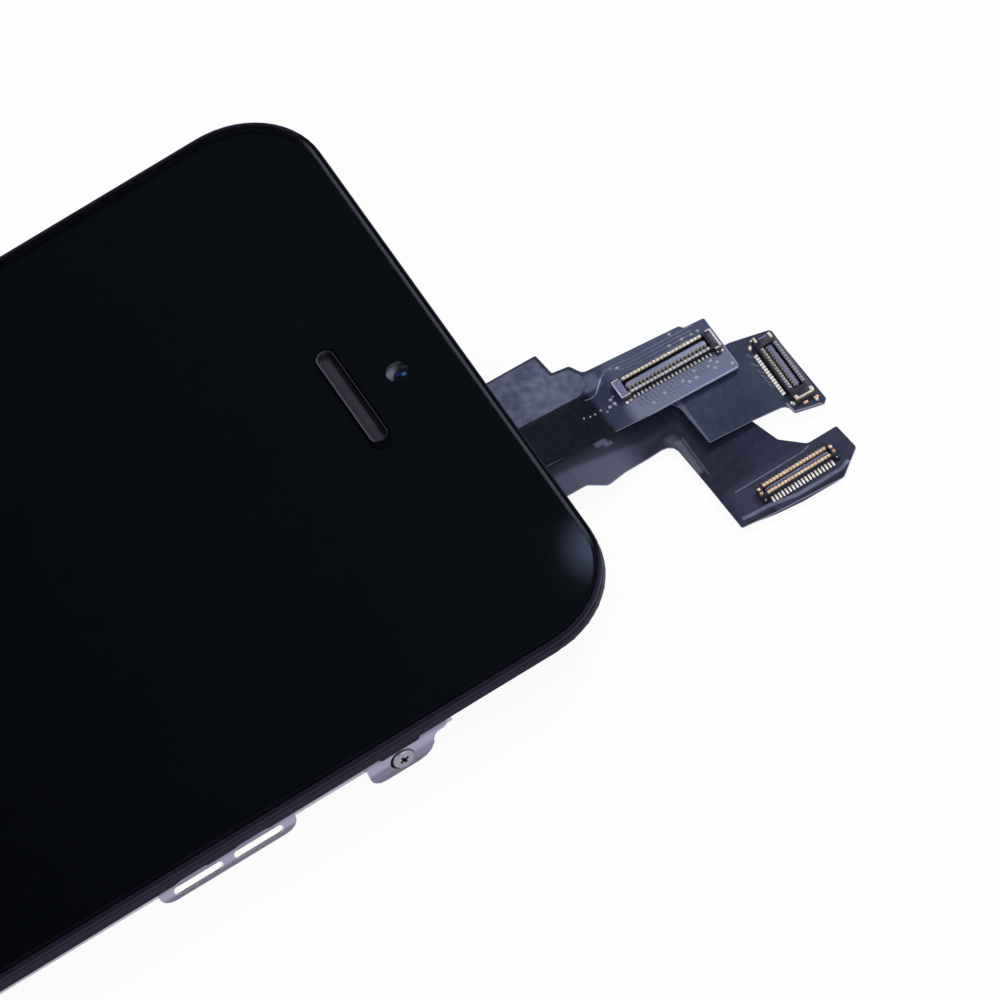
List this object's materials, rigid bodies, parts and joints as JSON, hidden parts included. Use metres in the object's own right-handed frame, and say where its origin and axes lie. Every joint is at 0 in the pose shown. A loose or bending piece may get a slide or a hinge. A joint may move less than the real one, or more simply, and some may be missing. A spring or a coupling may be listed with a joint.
{
  "type": "phone lcd screen assembly",
  "caption": "Phone front with cover glass, LCD and backlight in a moulded frame, steel side rails with tabs, camera, earpiece, home button and folded flexes with board connectors",
  "frame": {"origin": "middle of the cover glass's front face", "axes": "+X to the phone's right side seen from the front, +Y to the earpiece end, +Z out of the glass"},
  "size_m": [0.057, 0.1425, 0.0047],
  "materials": {
    "black_glass": "polished, printed black behind",
    "black_plastic": "fine satin",
    "rolled_steel": "rolled sheet, dull",
    "white_film": "matt",
    "clear_acrylic": "clear",
    "mirror_film": "mirror",
    "grey_mesh": "fine mesh",
    "dark_rubber": "matt",
    "grey_plastic": "satin",
    "clear_plastic": "clear",
    "lens_glass": "polished",
    "flex_film": "matt printed film",
    "grey_shield_film": "satin foil",
    "stiffener_board": "matt",
    "gold_contacts": "gold plated",
    "button_plastic": "gloss"
  },
  "bodies": {
    "assembly": {"backlight_tray": "rolled_steel", "bezel_frame": "black_plastic", "camera_barrel": "black_plastic", "camera_body": "black_plastic", "camera_lens": "lens_glass", "camera_ring": "grey_plastic", "cover_glass": "black_glass", "diffuser_films": "white_film", "display_connector": "gold_contacts", "display_flex": "flex_film", "display_stiffener": "stiffener_board", "earpiece_bracket": "rolled_steel", "earpiece_gasket": "dark_rubber", "earpiece_mesh": "grey_mesh", "earpiece_screw_left": "rolled_steel", "earpiece_screw_right": "rolled_steel", "earpiece_speaker": "black_plastic", "home_bracket": "rolled_steel", "home_button_gasket": "dark_rubber", "home_flex": "flex_film", "home_screw_left": "rolled_steel", "home_screw_right": "rolled_steel", "home_switch": "rolled_steel", "lcd_cell": "black_glass", "led_strip": "white_film", "light_guide": "clear_acrylic", "light_sensor": "black_plastic", "microphone": "rolled_steel", "proximity_sensor": "black_plastic", "reflector_film": "mirror_film", "sensor_connector": "gold_contacts", "sensor_flex": "flex_film", "sensor_holder": "clear_plastic", "sensor_stiffener": "stiffener_board", "shield_film": "grey_shield_film", "shield_plate": "rolled_steel", "side_rail_left": "rolled_steel", "side_rail_right": "rolled_steel", "side_screw_left_lower": "rolled_steel", "side_screw_left_upper": "rolled_steel", "side_screw_right_lower": "rolled_steel", "side_screw_right_upper": "rolled_steel", "touch_connector": "gold_contacts", "touch_flex": "flex_film", "touch_stiffener": "stiffener_board"},
    "button": {"home_button": "button_plastic"}
  },
  "joints": [
    {"name": "button_press", "type": "slide", "parent": "assembly", "child": "button", "axis": [0, 0, -1], "range_m": [0, 0.0002], "stiffness_N_per_m": 5000, "springref_m": -0.0001}
  ]
}
